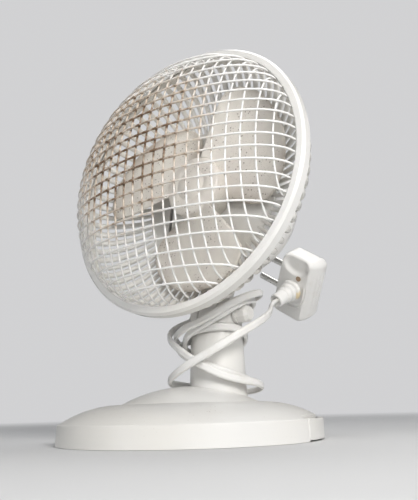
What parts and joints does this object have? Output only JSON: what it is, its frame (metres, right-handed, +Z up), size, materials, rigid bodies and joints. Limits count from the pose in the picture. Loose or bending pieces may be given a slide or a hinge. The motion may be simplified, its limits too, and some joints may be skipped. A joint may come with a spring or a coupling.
{
  "type": "clip fan",
  "caption": "Small desk fan whose round domed base is also a spring clip, with a turning neck, a tilting head, a ribbed rear guard and a domed wire front.",
  "frame": {"origin": "centre of the round base rim, on the surface it stands on", "axes": "+Z up; the front of the base faces -Y; the head is turned 54 degrees towards +X and tipped 7.5 degrees up"},
  "size_m": [0.1724, 0.1807, 0.2558],
  "materials": {
    "shell_white": "satin",
    "guard_white": "satin",
    "wire_white": "gloss",
    "blade_cream": "satin",
    "cord_white": "satin",
    "plug_white": "satin",
    "pad_grey": "matte",
    "steel": "satin",
    "brown_steel": "satin",
    "brass_pins": "satin",
    "core_iron": "matte",
    "coil_copper": "satin",
    "switch_black": "satin"
  },
  "bodies": {
    "base": {"base_shell": "shell_white", "hinge_pin": "steel", "upper_pad": "pad_grey", "clip_spring": "steel"},
    "jaw": {"clip_jaw": "shell_white", "lower_pad": "pad_grey"},
    "neck": {"neck_column": "shell_white", "neck_retainer": "steel", "retainer_screws": "steel", "cord_gland": "cord_white", "power_cord": "cord_white", "plug_collar": "plug_white", "plug_body": "plug_white", "plug_screw": "brown_steel", "plug_pins": "brass_pins"},
    "head": {"rear_guard": "guard_white", "guard_ring": "guard_white", "rim_wire": "wire_white", "wires_across": "wire_white", "wires_upright": "wire_white", "housing_front": "shell_white", "housing_rear": "shell_white", "switch_frame": "switch_black", "stator_core": "core_iron", "motor_coil": "coil_copper", "bracket_front": "steel", "bracket_rear": "steel", "bearings": "steel", "motor_screws": "steel", "pillar_screws": "steel", "tilt_bolt": "steel"},
    "rotor": {"rotor_core": "core_iron", "motor_shaft": "steel", "fan_blades": "blade_cream"},
    "knob": {"tilt_knob": "shell_white"},
    "rocker": {"switch_rocker": "switch_black"}
  },
  "joints": [
    {"name": "clip_hinge", "type": "hinge", "parent": "base", "child": "jaw", "pos_m": [0, 0.045, 0.008], "axis": [1, 0, 0], "range_deg": [0, 10], "stiffness_Nm_per_rad": 1.2, "springref_deg": -5.73, "deforming": ["clip_spring"]},
    {"name": "neck_swivel", "type": "hinge", "parent": "base", "child": "neck", "pos_m": [0, 0.018, 0], "axis": [0, 0, 1], "range_deg": [-114, 6]},
    {"name": "head_tilt", "type": "hinge", "parent": "neck", "child": "head", "pos_m": [0, 0.018, 0.077], "axis": [-0.5878, -0.809, 0], "range_deg": [-8, 6]},
    {"name": "rotor_spin", "type": "hinge", "parent": "head", "child": "rotor", "pos_m": [0.03145, -0.00485, 0.16482], "axis": [0.8021, -0.5828, 0.1305], "continuous": true},
    {"name": "knob_turn", "type": "hinge", "parent": "head", "child": "knob", "pos_m": [0, 0.018, 0.077], "axis": [0.5878, 0.809, 0], "range_deg": [-180, 180]},
    {"name": "switch_rock", "type": "hinge", "parent": "head", "child": "rocker", "pos_m": [-0.03705, 0.04492, 0.15368], "axis": [0.5878, 0.809, 0], "range_deg": [-10, 10]}
  ]
}
